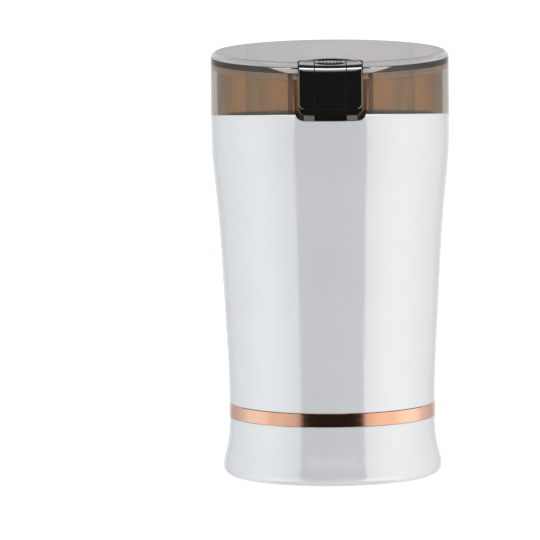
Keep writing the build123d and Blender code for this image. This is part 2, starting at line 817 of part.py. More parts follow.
with BuildPart() as button_blank:
    with BuildSketch(Plane.XY.offset(pad_low_z)):
        add(pad_plan(apron_r, button_w / 2, pad_curve))
    extrude(amount=apron_cap_z - pad_low_z)
    add(front_block(button_w / 2, apron_low_z, apron_cap_z, apron_corner_r, apron_r, apron_in_r))
    with BuildSketch(Plane.YZ):
        with BuildLine():
            ThreePointArc(
                (dome_front_y, pad_front_z),
                (dome_mid_y, pad_front_z + pad_belly),
                (dome_back_y, pad_front_z + pad_rise),
            )
            Polyline(
                (dome_back_y, pad_front_z + pad_rise),
                (dome_back_y, tab_low_z),
                (dome_front_y, tab_low_z),
                (dome_front_y, pad_front_z),
            )
        make_face()
    extrude(amount=button_w, both=True, mode=Mode.INTERSECT)
    top_edges = button_blank.faces().sort_by(Axis.Z)[-1].edges()
    fillet(top_edges.sort_by(Axis.Y)[0], pad_edge_r)
    # soften the outline that front plate, bend and top have in common
    skin = [
        button_blank.faces().sort_by(Axis.Y)[0],
        button_blank.faces().filter_by(GeomType.BSPLINE)[0],
        button_blank.faces().sort_by(Axis.Z)[-1],
    ]
    skin_edges = [edge for face in skin for edge in face.edges()]
    outline = [e for e in skin_edges if sum(e.is_same(other) for other in skin_edges) == 1]
    fillet(outline, button_edge_r)

# two scored lines that run over the top and down the front, of even depth
with BuildPart() as scores:
    with BuildSketch(Plane.XY.offset(apron_low_z)):
        with Locations((0, -apron_r)):
            with GridLocations(tongue_w, 1, 2, 1):
                Rectangle(score_w, pad_depth, align=(Align.CENTER, Align.MIN))
    extrude(amount=apron_cap_z - apron_low_z)
    add(button_blank.part.moved(Location((0, score_depth, -score_depth))), mode=Mode.SUBTRACT)

with BuildPart() as press_button:
    add(button_blank.part)
    add(scores.part, mode=Mode.SUBTRACT)
    # D-shaped recess for the fingertip
    with BuildSketch(Plane.XY.offset(recess_z)):
        add(pad_plan(apron_r, button_w / 2 - recess_rim, pad_curve - recess_rim))
    extrude(amount=over_seam, mode=Mode.SUBTRACT)
    # thin skirt behind the frame, and the slotted tongue that pushes the switch rod
    with BuildSketch(Plane.XY.offset(skirt_low_z)):
        add(front_arc(tongue_r, apron_in_r, button_w / 2))
    extrude(amount=apron_low_z + 1 - skirt_low_z)
    with BuildSketch(Plane.XY.offset(tab_low_z)):
        add(front_arc(tongue_r, apron_in_r, tongue_w / 2))
    extrude(amount=apron_low_z + 1 - tab_low_z)
    with BuildSketch(Plane.XY.offset(tab_low_z)):
        add(front_arc(tongue_r, tongue_r - tongue_slot_depth, tongue_slot_w / 2))
    extrude(amount=apron_low_z - tab_low_z, mode=Mode.SUBTRACT)
    with BuildSketch(Plane.XY.offset(pad_low_z)):
        with Locations((0, button_spring_y)):
            Circle(button_spring_r + spring_wire + end_gap)
    extrude(amount=spring_top_z - pad_low_z, mode=Mode.SUBTRACT)

save(press_button, "press_button")

with BuildPart() as button_spring:
    add(coil(button_spring_r, well_floor_z, spring_top_z, button_spring_turns, (0, button_spring_y)))

save(button_spring, "button_spring")

# ---------------------------------------------------------------- grinding bowl
slope = bowl_t / cos(radians(bowl_taper))  # level thickness of the tapered wall
miter = bowl_t * tan(radians(22.5))
floor_top_z = bowl_floor_z + bowl_t
hole_r = spout_r + part_gap

with BuildPart() as grinding_bowl:
    with BuildSketch(Plane.XZ):
        with BuildLine():
            FilletPolyline(
                (bowl_rim_r, bowl_rim_z),
                (bowl_r(bowl_floor_z), bowl_floor_z),
                (boss_foot_r, bowl_floor_z),
                (boss_top_r, boss_top_z),
                (hole_r, boss_top_z),
                radius=[bowl_corner_r, boss_foot_fillet, boss_top_fillet],
            )
            Line((hole_r, boss_top_z), (hole_r, boss_top_z + bowl_t))
            FilletPolyline(
                (hole_r, boss_top_z + bowl_t),
                (boss_top_r + miter, boss_top_z + bowl_t),
                (boss_foot_r + miter, floor_top_z),
                (bowl_r(floor_top_z) - slope, floor_top_z),
                (bowl_rim_r - slope, bowl_rim_z),
                radius=[boss_top_fillet + bowl_t, boss_foot_fillet - bowl_t, bowl_corner_r - bowl_t],
            )
            Line((bowl_rim_r - slope, bowl_rim_z), (bowl_rim_r, bowl_rim_z))
        make_face()
        with Locations((bowl_rim_r - slope / 2, bowl_rim_z)):
            Circle(bead_r)
    revolve(axis=Axis.Z)

save(grinding_bowl, "grinding_bowl")

with BuildPart() as bowl_gasket:
    gasket_web = seam_ring(bowl_rim_r, boss_foot_r, -shelf_drop - shelf_t - 0.2, -shelf_drop)
    gasket_flange = seam_ring(bowl_rim_r, boss_foot_r, -shelf_drop, gasket_flange_t - shelf_drop)
    add(gasket_web & bowl_cone(gasket_t))
    add(gasket_flange & bowl_cone(gasket_t + gasket_flange_w))
    add(bowl_cone(0), mode=Mode.SUBTRACT)

save(bowl_gasket, "bowl_gasket")

with BuildPart() as bowl_nut:
    with BuildSketch(Plane.XY.offset(nut_z)):
        RegularPolygon(bowl_nut_w / 2, 6, major_radius=False)
        Circle(spout_r + thread_gap, mode=Mode.SUBTRACT)
    extrude(amount=bowl_nut_t)

save(bowl_nut, "bowl_nut")

with BuildPart() as shaft_seal:
    with BuildSketch(Plane.XY.offset(spout_top_z - seal_t)):
        Circle(spout_bore_r)
        Circle(shaft_r + bush_gap, mode=Mode.SUBTRACT)
    extrude(amount=seal_t)

save(shaft_seal, "shaft_seal")

# ---------------------------------------------------------------- carrier plate
with BuildPart() as motor_carrier:
    with BuildSketch(Plane.XY.offset(carrier_z)):
        Circle(carrier_r)
    extrude(amount=carrier_t)
    with BuildSketch(Plane.XY.offset(bowl_floor_z)):
        Circle(hub_r)
    extrude(amount=boss_h)
    with BuildSketch(Plane.XY.offset(boss_top_z)):
        Circle(spout_r)
    extrude(amount=spout_top_z - boss_top_z)
    with BuildSketch(Plane.XY.offset(carrier_z)):
        Circle(spout_bore_r)
    extrude(amount=spout_top_z - carrier_z, mode=Mode.SUBTRACT)
    with BuildSketch(Plane.XY.offset(carrier_z)):
        with PolarLocations(carrier_circle_r, 4, start_angle=45):
            Circle(screw_r + hole_gap)
    extrude(amount=carrier_t, mode=Mode.SUBTRACT)
    with BuildSketch(Plane.XY.offset(carrier_z)):
        with GridLocations(2 * damper_x, 2 * damper_y, 2, 2):
            Circle(carrier_leg_r)
    extrude(amount=-carrier_leg_h)
    with BuildSketch(Plane.XY.offset(carrier_z - carrier_leg_h)):
        with GridLocations(2 * damper_x, 2 * damper_y, 2, 2):
            Circle(screw_r + thread_gap)
    extrude(amount=carrier_leg_h, mode=Mode.SUBTRACT)
    # arms that clip round the safety switch
    with BuildSketch(Plane.XY.offset(carrier_z)):
        with Locations((0, switch_y)):
            with GridLocations(switch_w + arm_t, 1, 2, 1):
                Rectangle(arm_t, arm_d)
    extrude(amount=-(switch_drop + switch_h))

save(motor_carrier, "motor_carrier")

with BuildPart() as carrier_screws:
    add(screws(bowl_floor_z - carrier_screw_len, bowl_floor_z, carrier_circle_r, True))

save(carrier_screws, "carrier_screws")

with BuildPart() as rubber_dampers:
    with BuildSketch(Plane.XY.offset(damper_z)):
        with GridLocations(2 * damper_x, 2 * damper_y, 2, 2):
            Circle(damper_r)
            Circle(screw_r + thread_gap, mode=Mode.SUBTRACT)
    extrude(amount=damper_t)

save(rubber_dampers, "rubber_dampers")

with BuildPart() as damper_screws:
    with BuildSketch(Plane.XY.offset(upper_bracket_z)):
        with GridLocations(2 * damper_x, 2 * damper_y, 2, 2):
            Circle(screw_r)
    extrude(amount=damper_screw_len)
    with BuildSketch(Plane.XY.offset(upper_bracket_z)):
        with GridLocations(2 * damper_x, 2 * damper_y, 2, 2):
            Circle(screw_head_r)
    extrude(amount=-screw_head_t)

save(damper_screws, "damper_screws")

# ---------------------------------------------------------------- safety switch
with BuildPart() as switch_rod:
    with BuildSketch(Plane.YZ.offset(-rod_w / 2)):
        with BuildLine():
            Polyline(
                (stem_y, neck_low_z + neck_h),
                (stem_y + rod_lean, rod_foot_z),
                (switch_y + foot_reach, rod_foot_z),
                (switch_y + foot_reach, rod_foot_z + foot_t),
                (stem_y + rod_lean + rod_t, rod_foot_z + foot_t),
                (stem_y + rod_t, neck_low_z + neck_h),
                close=True,
            )
        make_face()
    extrude(amount=rod_w)
    with BuildSketch(Plane.XY.offset(neck_low_z)):
        add(front_arc(rod_neck_r + neck_t, -stem_y - rod_t, rod_w / 2))
    extrude(amount=neck_h)
    with BuildSketch(Plane.XY.offset(neck_low_z)):
        add(front_arc(rod_neck_r + neck_t, rod_neck_r, rod_w / 2))
    extrude(amount=rod_top_z - neck_low_z)
    with BuildSketch(Plane.XY.offset(head_low_z)):
        add(front_arc(tongue_r, rod_neck_r, tongue_w / 2))
    extrude(amount=head_t)

save(switch_rod, "switch_rod")

with BuildPart() as switch_pin:
    with BuildSketch(Plane.XY.offset(switch_top_z - pin_depth)):
        with Locations((0, switch_y)):
            Circle(pin_r)
    extrude(amount=pin_depth + pin_rise)
    with BuildSketch(Plane.XY.offset(flange_z)):
        with Locations((0, switch_y)):
            Circle(pin_flange_r)
    extrude(amount=pin_flange_t)

save(switch_pin, "switch_pin")

with BuildPart() as switch_spring:
    add(coil(switch_spring_r, switch_top_z, flange_z, switch_spring_turns, (0, switch_y)))

save(switch_spring, "switch_spring")

with BuildPart() as power_switch:
    with BuildSketch(Plane.XY.offset(switch_top_z)):
        with Locations((0, switch_y)):
            RectangleRounded(switch_w, switch_d, switch_corner_r)
    extrude(amount=-switch_h)
    with BuildSketch(Plane.XY.offset(switch_top_z)):
        with Locations((0, switch_y)):
            Circle(pin_r + pin_gap)
    extrude(amount=-(pin_depth + button_travel + end_gap), mode=Mode.SUBTRACT)

save(power_switch, "power_switch")

with BuildPart() as switch_terminals:
    with BuildSketch(Plane.XY.offset(switch_top_z - switch_h)):
        with Locations((0, switch_y)):
            with GridLocations(switch_w - terminal_w, 1, 2, 1):
                Rectangle(terminal_w, terminal_t)
    extrude(amount=-terminal_h)

save(switch_terminals, "switch_terminals")

# ---------------------------------------------------------------- motor: fixed pieces
with BuildPart() as upper_bearing_bracket:
    with BuildSketch(Plane.XY.offset(upper_bracket_z)):
        RectangleRounded(bracket_x, bracket_y, bracket_corner_r)
        with GridLocations(bracket_x - 2 * bracket_slot_w, 1, 2, 1):
            RectangleRounded(bracket_slot_w, bracket_slot_y, bracket_slot_r, mode=Mode.SUBTRACT)
    extrude(amount=bracket_t)
    with BuildSketch(Plane.XY.offset(upper_bracket_z)):
        Circle(housing_r)
    extrude(amount=upper_bush_z + bush_h + housing_wall / 2 - upper_bracket_z)
    with BuildSketch(Plane.XY.offset(stack_top_z)):
        with GridLocations(2 * leg_x, 2 * leg_y, 2, 2):
            Circle(leg_r)
    extrude(amount=upper_leg_h)
    with BuildSketch(Plane.XY.offset(stack_top_z)):
        Circle(shaft_r + 1)
        with GridLocations(2 * leg_x, 2 * leg_y, 2, 2):
            Circle(screw_r + thread_gap)
        with GridLocations(2 * damper_x, 2 * damper_y, 2, 2):
            Circle(screw_r + hole_gap)
    extrude(amount=damper_z + over_seam - stack_top_z, mode=Mode.SUBTRACT)
    with BuildSketch(Plane.XY.offset(upper_bush_z)):
        Circle(bush_r)
    extrude(amount=over_seam, mode=Mode.SUBTRACT)

save(upper_bearing_bracket, "upper_bearing_bracket")


def bush(low_z):
    """Plain bearing for the shaft."""
    with BuildPart(mode=Mode.PRIVATE) as bearing:
        with BuildSketch(Plane.XY.offset(low_z)):
            Circle(bush_r)
            Circle(shaft_r + bush_gap, mode=Mode.SUBTRACT)
        extrude(amount=bush_h)
    return bearing.part


with BuildPart() as upper_bushing:
    add(bush(upper_bush_z))

save(upper_bushing, "upper_bushing")

with BuildPart() as lower_bearing_bracket:
    with BuildSketch(Plane.XY.offset(lower_bracket_z)):
        RectangleRounded(bracket_x, bracket_y, bracket_corner_r)
        with GridLocations(bracket_x - 2 * bracket_slot_w, 1, 2, 1):
            RectangleRounded(bracket_slot_w, bracket_slot_y, bracket_slot_r, mode=Mode.SUBTRACT)
    extrude(amount=bracket_t)
    with BuildSketch(Plane.XY.offset(lower_bush_z)):
        Circle(housing_r)
    extrude(amount=bush_h)
    with BuildSketch(Plane.XY.offset(lower_bracket_top_z)):
        with GridLocations(2 * leg_x, 2 * leg_y, 2, 2):
            Circle(leg_r)
    extrude(amount=lower_leg_h)
    with BuildSketch(Plane.XY.offset(lower_bracket_z)):
        with GridLocations(2 * leg_x, 2 * leg_y, 2, 2):
            Circle(screw_r + hole_gap)
    extrude(amount=bracket_t + lower_leg_h, mode=Mode.SUBTRACT)
    with BuildSketch(Plane.XY.offset(lower_bush_z)):
        Circle(bush_r)
    extrude(amount=bush_h, mode=Mode.SUBTRACT)
    # pedestals for the brush holders
    with BuildSketch(Plane.XY.offset(lower_bracket_top_z)):
        with GridLocations(1, 2 * holder_y + holder_len, 1, 2):
            Rectangle(pedestal_w, holder_len - 1)
    extrude(amount=brush_z - holder_side / 2 - lower_bracket_top_z)

save(lower_bearing_bracket, "lower_bearing_bracket")

with BuildPart() as lower_bushing:
    add(bush(lower_bush_z))

save(lower_bushing, "lower_bushing")

pole_in_x = bore_r + shoe_t / 2
pole_out_x = (window_x + yoke_t) / 2

with BuildSketch() as pole_shoes:
    Circle(bore_r + shoe_t)
    Circle(bore_r, mode=Mode.SUBTRACT)
    shoe_x = bore_r * cos(radians(pole_arc / 2))
    Rectangle(2 * shoe_x, 2 * (bore_r + shoe_t), mode=Mode.SUBTRACT)

with BuildPart() as stator_core:
    with BuildSketch(Plane.XY.offset(stack_z)):
        RectangleRounded(stator_x, stator_y, bracket_corner_r)
        RectangleRounded(window_x, window_y, window_corner_r, mode=Mode.SUBTRACT)
        with GridLocations(pole_in_x + pole_out_x, 1, 2, 1):
            Rectangle(pole_out_x - pole_in_x, pole_w)
        add(pole_shoes.sketch)
        with GridLocations(2 * leg_x, 2 * leg_y, 2, 2):
            Circle(screw_r + hole_gap, mode=Mode.SUBTRACT)
    extrude(amount=stack_h)

save(stator_core, "stator_core")

with BuildPart() as field_coils:
    with BuildSketch(Plane.YZ.offset(coil_in_x)):
        with Locations((0, stack_z + stack_h / 2)):
            RectangleRounded(coil_w, stack_h + 2 * coil_over, coil_corner_r)
            Rectangle(pole_w + 2 * coil_gap, stack_h + 2 * coil_gap, mode=Mode.SUBTRACT)
    extrude(amount=coil_t)
    mirror(about=Plane.YZ)

save(field_coils, "field_coils")

with BuildPart() as brush_holders:
    with BuildSketch(Plane.XZ.offset(-holder_y)):
        with Locations((0, brush_z)):
            Rectangle(holder_side, holder_side)
    extrude(amount=-holder_len)
    with BuildSketch(Plane.XZ.offset(-holder_y)):
        with Locations((0, brush_z)):
            Rectangle(brush_bore, brush_bore)
    extrude(amount=-(holder_len - holder_wall), mode=Mode.SUBTRACT)
    mirror(about=Plane.XZ)

save(brush_holders, "brush_holders")

with BuildPart() as carbon_brushes:
    with BuildSketch(Plane.XZ.offset(-brush_y)):
        with Locations((0, brush_z)):
            Rectangle(brush_side, brush_side)
    extrude(amount=-brush_len)
    with BuildSketch(Plane.XY.offset(commutator_z)):
        Circle(brush_y)
    extrude(amount=commutator_h, mode=Mode.SUBTRACT)
    mirror(about=Plane.XZ)

save(carbon_brushes, "carbon_brushes")

upright_spring = coil(
    brush_side / 2 - spring_wire, brush_y + brush_len, holder_end_y, brush_spring_turns, (0, 0)
)

with BuildPart() as brush_springs:
    add(upright_spring.rotate(Axis.X, -90).moved(Location((0, 0, brush_z))))
    mirror(about=Plane.XZ)

save(brush_springs, "brush_springs")

with BuildPart() as motor_screws:
    with BuildSketch(Plane.XY.offset(lower_bracket_z)):
        with GridLocations(2 * leg_x, 2 * leg_y, 2, 2):
            Circle(screw_r)
    extrude(amount=damper_z - lower_bracket_z)
    with BuildSketch(Plane.XY.offset(lower_bracket_z)):
        with GridLocations(2 * leg_x, 2 * leg_y, 2, 2):
            Circle(screw_head_r)
    extrude(amount=-screw_head_t)

save(motor_screws, "motor_screws")

with BuildPart() as interference_capacitor:
    with BuildSketch(Plane.XY.offset(stack_z + (stack_h - capacitor_w) / 2)):
        with Locations((0, (stator_y + capacitor_d) / 2)):
            RectangleRounded(capacitor_w, capacitor_d, capacitor_round)
    extrude(amount=capacitor_w)

save(interference_capacitor, "interference_capacitor")

# ---------------------------------------------------------------- motor: rotor
with BuildPart() as motor_shaft:
    with BuildSketch(Plane.XY.offset(fan_z - shaft_end)):
        Circle(shaft_r)
    extrude(amount=washer_z - fan_z + shaft_end)
    with BuildSketch(Plane.XY.offset(washer_z)):
        Circle(stud_r)
    extrude(amount=washer_t + blade_t + blade_nut_t - nut_cap_t - thread_gap)
    chamfer(motor_shaft.edges().group_by(Axis.Z)[0], shaft_edge)

save(motor_shaft, "motor_shaft")

with BuildPart() as armature_core:
    with BuildSketch(Plane.XY.offset(stack_z)):
        Circle(armature_r)
        Circle(shaft_r, mode=Mode.SUBTRACT)
        with PolarLocations(slot_circle_r, slot_count):
            Circle(slot_r, mode=Mode.SUBTRACT)
            Rectangle(armature_r, slot_mouth, align=(Align.MIN, Align.CENTER), mode=Mode.SUBTRACT)
    extrude(amount=stack_h)

save(armature_core, "armature_core")

with BuildPart() as armature_windings:
    with BuildSketch(Plane.XZ) as heads:
        winding_mid_r = armature_r - winding_inset - winding_w / 2
        with Locations(
            (winding_mid_r, stack_z - winding_h / 2),
            (winding_mid_r, stack_top_z + winding_h / 2),
        ):
            Rectangle(winding_w, winding_h)
        chamfer(heads.vertices(), min(winding_edge, winding_w / 4))
    revolve(axis=Axis.Z)
    with BuildSketch(Plane.XY.offset(stack_z - winding_h / 2)):
        with PolarLocations(slot_circle_r, slot_count):
            Circle(slot_r - liner_t)
    extrude(amount=stack_h + winding_h)

save(armature_windings, "armature_windings")

with BuildPart() as commutator:
    with BuildSketch(Plane.XY.offset(commutator_z)):
        Circle(commutator_r)
        Circle(shaft_r, mode=Mode.SUBTRACT)
        with PolarLocations(commutator_r - bar_depth, slot_count, start_angle=180 / slot_count):
            Rectangle(bar_depth + 1, bar_gap, align=(Align.MIN, Align.CENTER), mode=Mode.SUBTRACT)
    extrude(amount=commutator_h)

save(commutator, "commutator")

with BuildPart() as cooling_fan:
    with BuildSketch(Plane.XY.offset(fan_z)):
        Circle(fan_hub_r)
        with PolarLocations(fan_hub_r - fan_disc_t, fan_blades):
            Rectangle(
                fan_r - fan_hub_r + fan_disc_t / 2,
                fan_disc_t,
                rotation=fan_pitch,
                align=(Align.MIN, Align.CENTER),
            )
    extrude(amount=fan_h)
    with BuildSketch(Plane.XY.offset(fan_z + fan_h - fan_disc_t)):
        Circle(fan_r)
    extrude(amount=fan_disc_t)
    with BuildSketch(Plane.XY.offset(fan_z)):
        Circle(shaft_r)
    extrude(amount=fan_h, mode=Mode.SUBTRACT)

save(cooling_fan, "cooling_fan")

# ---------------------------------------------------------------- blade
with BuildPart() as blade_washer:
    with BuildSketch(Plane.XY.offset(washer_z)):
        Circle(washer_r)
        Circle(stud_r, mode=Mode.SUBTRACT)
    extrude(amount=washer_t)
    chamfer(blade_washer.edges().group_by(Axis.Z)[0].sort_by(SortBy.LENGTH)[-1], washer_edge)

save(blade_washer, "blade_washer")


def wing(side, lift):
    """One wing of the blade: bent up by lift degrees, with a bevelled leading edge."""
    reach = (blade_r - blade_flat) / cos(radians(abs(lift)))
    along = Vector(side * cos(radians(lift)), 0, sin(radians(lift)))
    across = Vector(0, side, 0)
    root = Plane(origin=(side * blade_flat, 0, blade_z), x_dir=along, z_dir=along.cross(across))
    with BuildPart(mode=Mode.PRIVATE) as blade_wing:
        with BuildSketch(root):
            with BuildLine():
                Polyline(
                    (-0.4, -blade_w / 2),
                    (0.75 * reach, -0.42 * blade_w),
                    (reach, -0.1 * blade_w),
                    (reach, 0.25 * blade_w),
                    (-0.4, blade_w / 2),
                    close=True,
                )
            make_face()
        extrude(amount=blade_t)
        cutting_edge = blade_wing.edges().filter_by(lambda e: abs(e.length - 0.75 * reach) < 1.0)
        chamfer(cutting_edge.sort_by(Axis.Z)[-1], 0.8 * blade_t, blade_bevel)
    return blade_wing.part


with BuildPart() as grinding_blade:
    with BuildSketch(Plane.XY.offset(blade_z)):
        Rectangle(2 * blade_flat, blade_w)
    extrude(amount=blade_t)
    add(wing(1, blade_up))
    add(wing(-1, -blade_down))
    with BuildSketch(Plane.XY.offset(blade_z)):
        Circle(stud_r)
    extrude(amount=blade_t, mode=Mode.SUBTRACT)

save(grinding_blade, "grinding_blade")

with BuildPart() as blade_nut:
    with BuildSketch(Plane.XY.offset(blade_nut_z)):
        RegularPolygon(blade_nut_w / 2, 6, major_radius=False)
    extrude(amount=blade_nut_t)
    chamfer(blade_nut.edges().group_by(Axis.Z)[-1], blade_nut_edge)
    with BuildSketch(Plane.XY.offset(blade_nut_z)):
        Circle(stud_r)
    extrude(amount=blade_nut_t - nut_cap_t, mode=Mode.SUBTRACT)

save(blade_nut, "blade_nut")
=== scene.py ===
# %% [markdown]
# An electric spice grinder, dressed in Blender.
#
# A smoked lid with a black press button sits on a glossy white body, which stands on a
# flared base with a rose gold ring between them. The solids come ready at their real size.
# This lesson gives them light, a camera and finishes, and adds the small things that are
# too fine for the solids.

# %% Load the solids
from math import cos, pi, radians, sin

import bmesh
import bpy
from mathutils import Matrix, Vector
from mathutils.bvhtree import BVHTree


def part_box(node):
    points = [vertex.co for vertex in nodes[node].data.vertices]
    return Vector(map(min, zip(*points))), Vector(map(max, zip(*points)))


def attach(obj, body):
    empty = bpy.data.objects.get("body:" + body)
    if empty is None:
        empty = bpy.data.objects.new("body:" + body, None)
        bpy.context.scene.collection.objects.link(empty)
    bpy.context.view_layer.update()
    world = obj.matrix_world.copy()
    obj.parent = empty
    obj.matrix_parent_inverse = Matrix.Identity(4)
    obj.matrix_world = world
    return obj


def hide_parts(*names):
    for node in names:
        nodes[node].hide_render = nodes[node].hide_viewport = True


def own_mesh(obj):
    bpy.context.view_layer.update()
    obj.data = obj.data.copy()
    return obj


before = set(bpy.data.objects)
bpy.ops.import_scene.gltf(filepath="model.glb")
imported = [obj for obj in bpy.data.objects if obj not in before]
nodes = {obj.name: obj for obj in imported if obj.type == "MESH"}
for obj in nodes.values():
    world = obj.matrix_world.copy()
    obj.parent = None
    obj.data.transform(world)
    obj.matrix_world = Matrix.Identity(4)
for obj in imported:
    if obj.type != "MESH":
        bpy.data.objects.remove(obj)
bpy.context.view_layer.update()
scene = bpy.context.scene
MM = 0.001

# %% [markdown]
# Small goods are shown from far away with a long lens, so that their round edges stay
# shallow. This camera looks down by about seven degrees and leans a hair to one side. It
# could be turned by hand, but here its place follows from the distance, the elevation and
# the point it aims at, so each number can be read and changed by itself.

# %% Camera
camera_distance = 5.0
camera_elevation = radians(6.8)
camera_roll = radians(0.47)
aim_point = Vector((-0.0245, 0.0, 0.0831))
view_width = 0.216  # metres seen across the picture at the aim point

camera_data = bpy.data.cameras.new("camera")
camera_data.lens = camera_data.sensor_width * camera_distance / view_width
camera_data.clip_end = 100
camera = bpy.data.objects.new("camera", camera_data)
scene.collection.objects.link(camera)
towards_camera = Vector((0, -cos(camera_elevation), sin(camera_elevation)))
camera.location = aim_point + camera_distance * towards_camera
level_turn = (-towards_camera).to_track_quat("-Z", "Y").to_matrix()
camera.rotation_euler = (level_turn @ Matrix.Rotation(-camera_roll, 3, "Z")).to_euler()
scene.camera = camera
scene.view_settings.view_transform = "Standard"
print("lens in mm:", round(camera_data.lens))

# %% [markdown]
# A glossy white body has hardly any colour of its own to show, so its form is drawn by
# what it reflects. Here that is one tall glowing cloth that runs round the object like a
# curtain and is open towards the camera. The opening gives the greyer strip down the
# middle, its edges give the crisp change to the bright flanks, and the calmer cloth at the
# back lights the top of the lid. Two softboxes would give the same strip, but the body
# would show where each of them ends, and the lid would have nothing to reflect.


# %% Glowing cloth
cloth = bpy.data.materials.new("glowing_cloth")
cloth.use_nodes = True
cloth_tree = cloth.node_tree
cloth_tree.nodes.clear()
cloth_glow = cloth_tree.nodes.new("ShaderNodeAttribute")
cloth_glow.attribute_name = "glow"
cloth_emission = cloth_tree.nodes.new("ShaderNodeEmission")
cloth_output = cloth_tree.nodes.new("ShaderNodeOutputMaterial")
cloth_tree.links.new(cloth_glow.outputs["Color"], cloth_emission.inputs["Color"])
cloth_tree.links.new(cloth_emission.outputs["Emission"], cloth_output.inputs["Surface"])


def glowing_sheet(name, points, colors):
    """Strip of cloth between pairs of points, which glows in the colour of each point."""
    mesh = bpy.data.meshes.new(name)
    faces = [(first, first + 1, first + 3, first + 2) for first in range(0, len(points) - 2, 2)]
    mesh.from_pydata(points, [], faces)
    glow_layer = mesh.color_attributes.new("glow", "FLOAT_COLOR", "POINT")
    glow_layer.data.foreach_set("color", colors)
    mesh.materials.append(cloth)
    sheet = bpy.data.objects.new(name, mesh)
    scene.collection.objects.link(sheet)
    sheet.visible_camera = False
    print(name, "faces:", len(faces))
    return sheet


# %% Curtain of light
curtain_radius = 2.2
curtain_low_z = -3.0
curtain_high_z = 1.3
curtain_step = 1  # degrees between its folds
# heading away from the camera in degrees, and how brightly the cloth glows there
left_glow = [
    (34, 0.03), (37, 1.25), (60, 1.6), (78, 1.65), (96, 1.15), (112, 0.8),
    (130, 0.6), (150, 0.5), (165, 0.8), (180, 0.8),
]
right_glow = [
    (34, 0.03), (37, 1.5), (56, 1.95), (75, 1.9), (90, 1.5), (105, 1.05),
    (120, 0.75), (135, 0.6), (150, 0.5), (165, 0.8), (180, 0.8),
]
left_tone = (0.955, 0.985, 1.0)
right_tone = (1.0, 1.0, 1.0)


def glow_between(stops, heading):
    """Brightness at a heading, on straight lines between the stops."""
    for (low, low_glow), (high, high_glow) in zip(stops, stops[1:]):
        if heading <= high:
            break
    share = max(0, heading - low) / (high - low)
    return low_glow + share * (high_glow - low_glow)


curtain_points = []
curtain_colors = []
for degrees in range(-180, 181, curtain_step):
    glow = glow_between(left_glow if degrees < 0 else right_glow, abs(degrees))
    tone = left_tone if degrees < 0 else right_tone
    x = curtain_radius * sin(radians(degrees))
    y = -curtain_radius * cos(radians(degrees))
    for z in (curtain_low_z, curtain_high_z):
        curtain_points.append((x, y, z))
        curtain_colors.extend([glow * tone[0], glow * tone[1], glow * tone[2], 1])
curtain = glowing_sheet("curtain", curtain_points, curtain_colors)

# %% [markdown]
# Two more lights hang above. A softbox gives the white under the gloss and the floor their
# even light. Mirror rays don't see it, because its outline would cut the gleam on the
# rounded edge of the lid in two. What that edge and the button reflect instead is a card
# that bends up over the object. It is dim low in front and bright overhead, so that the
# gleam fades at one side. A softbox with a ramp could do that too, but a strip of the same
# cloth as the curtain needs no finish of its own.


# %% Softbox above
def softbox(name, place, target, width, depth, radiance):
    """Area light at a place, turned to a target, whose power follows from its brightness."""
    light = bpy.data.lights.new(name, "AREA")
    light.shape = "RECTANGLE"
    light.size = width
    light.size_y = depth
    light.energy = pi * width * depth * radiance
    lamp = bpy.data.objects.new(name, light)
    scene.collection.objects.link(lamp)
    lamp.location = place
    lamp.rotation_euler = (Vector(place) - Vector(target)).to_track_quat("Z", "Y").to_euler()
    lamp.visible_camera = False
    print(name, "watts:", round(light.energy, 1))
    return lamp


softbox_top = softbox(
    "softbox_top", place=(0, 0.1, 1.5), target=(0, 0.1, 0), width=1.6, depth=0.7, radiance=9.0
)
softbox_top.visible_glossy = False

# %% Fading card
card_distance = 1.4
card_half_width = 0.62
card_centre_z = 0.17  # about the height of the lid, which the card bends round
# elevation towards the camera in degrees, and how brightly the card glows there
card_glow = [(10, 0.1), (26, 0.8), (40, 2.1), (52, 4.6), (60, 8.5), (72, 8.5)]
card_points = []
card_colors = []
for degrees, glow in card_glow:
    y = -card_distance * cos(radians(degrees))
    z = card_centre_z + card_distance * sin(radians(degrees))
    for x in (-card_half_width, card_half_width):
        card_points.append((x, y, z))
        card_colors.extend([glow, glow, glow, 1])
fading_card = glowing_sheet("fading_card", card_points, card_colors)
fading_card.visible_diffuse = False

# %% [markdown]
# The grinder stands on a white sweep that should burn out to plain white, with no more
# than a breath of shadow. The floor gives off a little light of its own for that, as an
# underlit table does, and it is hidden from mirror rays so that the reflections on the
# body show only the curtain. A plain white floor would need far more light to burn out,
# and the body would burn out with it.
#
# Every finish is a Principled shader, so a small helper makes one and sets its plain
# numbers.


# %% Floor and world
def finish(name, color, roughness, **sockets):
    """New material with a Principled shader; sockets are set by name, with _ for a space."""
    material = bpy.data.materials.new(name)
    material.use_nodes = True
    shader = material.node_tree.nodes["Principled BSDF"]
    shader.inputs["Base Color"].default_value = (*color, 1)
    shader.inputs["Roughness"].default_value = roughness
    for socket, value in sockets.items():
        shader.inputs[socket.replace("_", " ")].default_value = value
    return material


floor_half = 6.0
corner_signs = ((-1, -1), (1, -1), (1, 1), (-1, 1))
floor_corners = [(floor_half * x, floor_half * y, 0) for x, y in corner_signs]
floor_mesh = bpy.data.meshes.new("floor")
floor_mesh.from_pydata(floor_corners, [], [(0, 1, 2, 3)])
floor_mesh.materials.append(
    finish(
        "floor",
        color=(0.2, 0.2, 0.2),
        roughness=0.9,
        Specular_IOR_Level=0.0,
        Emission_Color=(1, 1, 1, 1),
        Emission_Strength=0.95,
    )
)
floor = bpy.data.objects.new("floor", floor_mesh)
scene.collection.objects.link(floor)
floor.visible_glossy = False

